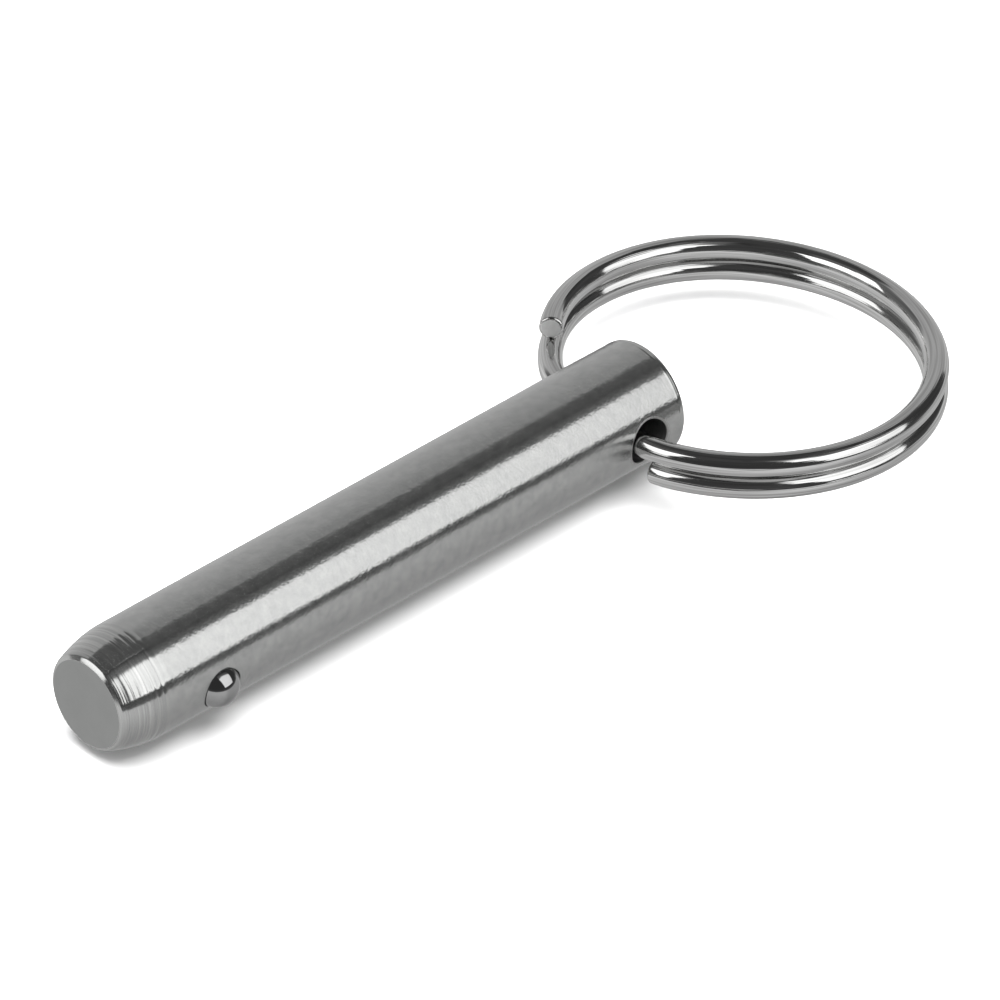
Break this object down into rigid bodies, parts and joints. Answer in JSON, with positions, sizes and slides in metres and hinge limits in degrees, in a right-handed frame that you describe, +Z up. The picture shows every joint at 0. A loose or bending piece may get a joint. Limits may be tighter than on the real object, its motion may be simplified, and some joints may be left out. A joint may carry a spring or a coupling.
{
  "type": "ball-lock hitch pin",
  "caption": "Straight hitch pin with a sprung ball near its nose and a split ring through its head, used to lock a hitch, coupler or attachment.",
  "frame": {"origin": "on the shank's axis, midway along the ground seat between the cross hole and the ball", "axes": "+X along the shank towards the nose, +Y along the cross hole towards the side the ball faces, +Z up"},
  "size_m": [0.083, 0.0327, 0.0096],
  "materials": {
    "ground_steel": "satin, ground along the shank and turned at the nose",
    "ball_steel": "polished bearing ball",
    "spring_wire": "drawn spring wire",
    "ring_wire": "bright drawn wire"
  },
  "bodies": {
    "pin": {"pin_body": "ground_steel", "detent_spring": "spring_wire"},
    "ball": {"detent_ball": "ball_steel"},
    "ring": {"split_ring": "ring_wire"}
  },
  "joints": [
    {"name": "ring_swing", "type": "hinge", "parent": "pin", "child": "ring", "pos_m": [-0.0225, 0, 0], "axis": [0, 1, 0], "range_deg": [-164, 166]},
    {"name": "ball_press", "type": "slide", "parent": "pin", "child": "ball", "axis": [0, -0.9895, 0.1444], "range_m": [0, 0.0011], "stiffness_N_per_m": 950, "springref_m": -0.0025, "deforming": ["detent_spring"]}
  ]
}
